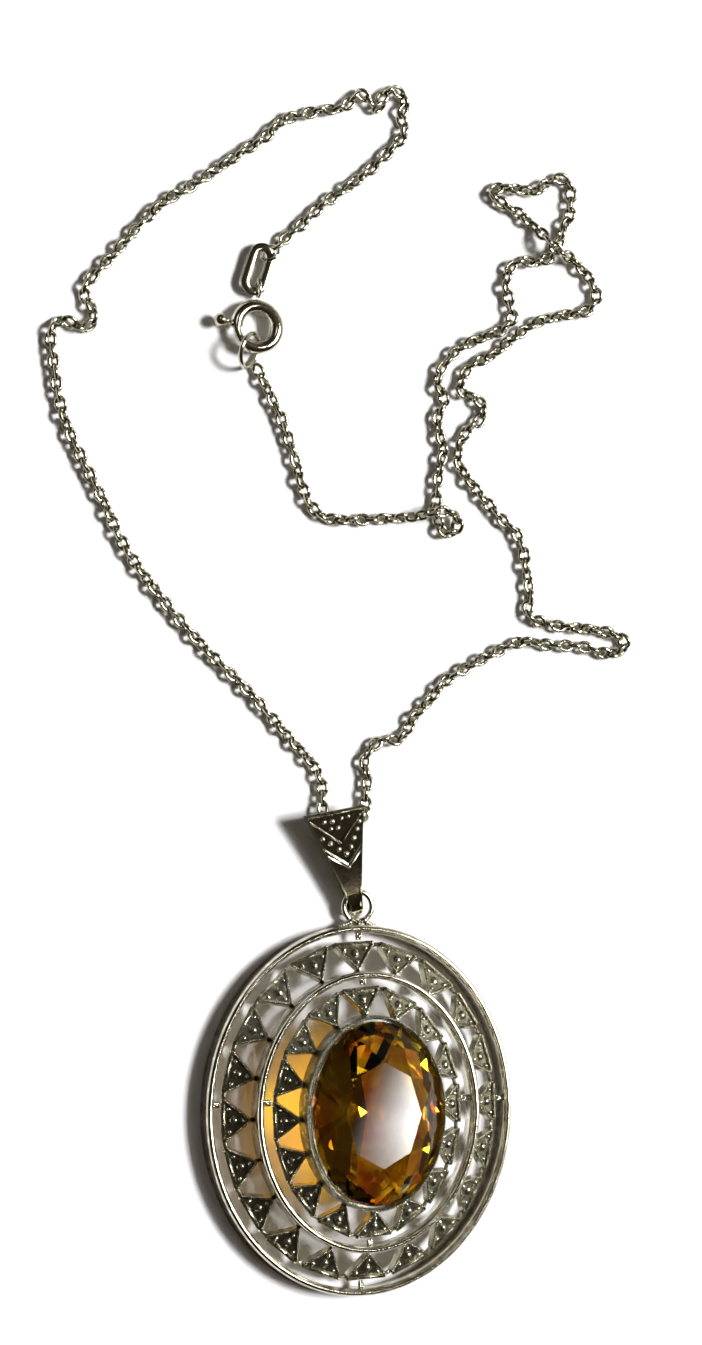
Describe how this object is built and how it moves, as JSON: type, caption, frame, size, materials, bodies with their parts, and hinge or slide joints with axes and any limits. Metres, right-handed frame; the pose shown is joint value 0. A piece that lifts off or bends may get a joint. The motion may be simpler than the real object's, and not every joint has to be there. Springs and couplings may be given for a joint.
{
  "type": "pendant necklace",
  "caption": "Pendant necklace: a domed oval openwork pendant with a faceted amber stone, on a fine belcher chain with a bolt ring clasp.",
  "frame": {"origin": "under the middle of the pendant and its bail, on the surface that the necklace lies on", "axes": "+Y from the pendant towards its bail, +Z out of the pendant's front, +X to the right seen from the front"},
  "size_m": [0.0676, 0.132, 0.0095],
  "materials": {
    "bright_silver": "polished silver",
    "aged_silver": "satin silver, darkened in its recesses",
    "spring_steel": "plain wire",
    "amber_glass": "faceted and polished, deep amber"
  },
  "bodies": {
    "chain": {"chain": "aged_silver"},
    "bail": {"bail": "aged_silver"},
    "pendant": {"outer_rim": "bright_silver", "outer_gallery": "aged_silver", "inner_rim": "bright_silver", "inner_gallery": "aged_silver", "bezel": "aged_silver", "stone_seat": "aged_silver", "stone": "amber_glass", "outer_strut_top": "aged_silver", "outer_strut_right": "aged_silver", "outer_strut_bottom": "aged_silver", "outer_strut_left": "aged_silver", "inner_strut_top": "aged_silver", "inner_strut_right": "aged_silver", "inner_strut_bottom": "aged_silver", "inner_strut_left": "aged_silver", "hanging_ring": "bright_silver"},
    "end_ring": {"chain_end_ring": "bright_silver"},
    "tag": {"end_tag": "aged_silver"},
    "bolt_ring": {"bolt_ring_case": "bright_silver", "bolt_ring_eye": "bright_silver", "bolt_spring": "spring_steel"},
    "bolt": {"bolt": "aged_silver", "trigger": "bright_silver"},
    "jump_ring": {"clasp_jump_ring": "bright_silver"}
  },
  "joints": [
    {"name": "bail_swing", "type": "hinge", "parent": "chain", "child": "bail", "pos_m": [-0.00271, 0.02385, 0.00145], "axis": [0.9636, 0.2672, 0], "range_deg": [-25, 60]},
    {"name": "pendant_swing", "type": "hinge", "parent": "bail", "child": "pendant", "pos_m": [-0.00079, 0.01691, 0.0013], "axis": [0.8746, 0.4848, 0], "range_deg": [-105, 120]},
    {"name": "end_ring_swing", "type": "hinge", "parent": "chain", "child": "end_ring", "pos_m": [-0.00934, 0.08695, 0.001], "axis": [-0.62, 0.7846, 0], "range_deg": [-30, 60]},
    {"name": "tag_swing", "type": "hinge", "parent": "end_ring", "child": "tag", "pos_m": [-0.0106, 0.08684, 0.001], "axis": [-0.9511, 0.309, 0], "range_deg": [-60, 0]},
    {"name": "bolt_ring_swing", "type": "hinge", "parent": "tag", "child": "bolt_ring", "pos_m": [-0.01134, 0.08242, 0.00099], "axis": [-1, 0, 0], "range_deg": [-30, 24]},
    {"name": "bolt_draw", "type": "hinge", "parent": "bolt_ring", "child": "bolt", "pos_m": [-0.01164, 0.07818, 0.00144], "axis": [0, 0.1045, 0.9945], "range_deg": [-50, 0], "stiffness_Nm_per_rad": 0.0004, "springref_deg": 11.46, "deforming": ["bolt_spring"]},
    {"name": "jump_ring_swing", "type": "hinge", "parent": "bolt_ring", "child": "jump_ring", "pos_m": [-0.0124, 0.07602, 0.00167], "axis": [0.9432, -0.3303, 0.0347], "range_deg": [-60, 26]}
  ]
}
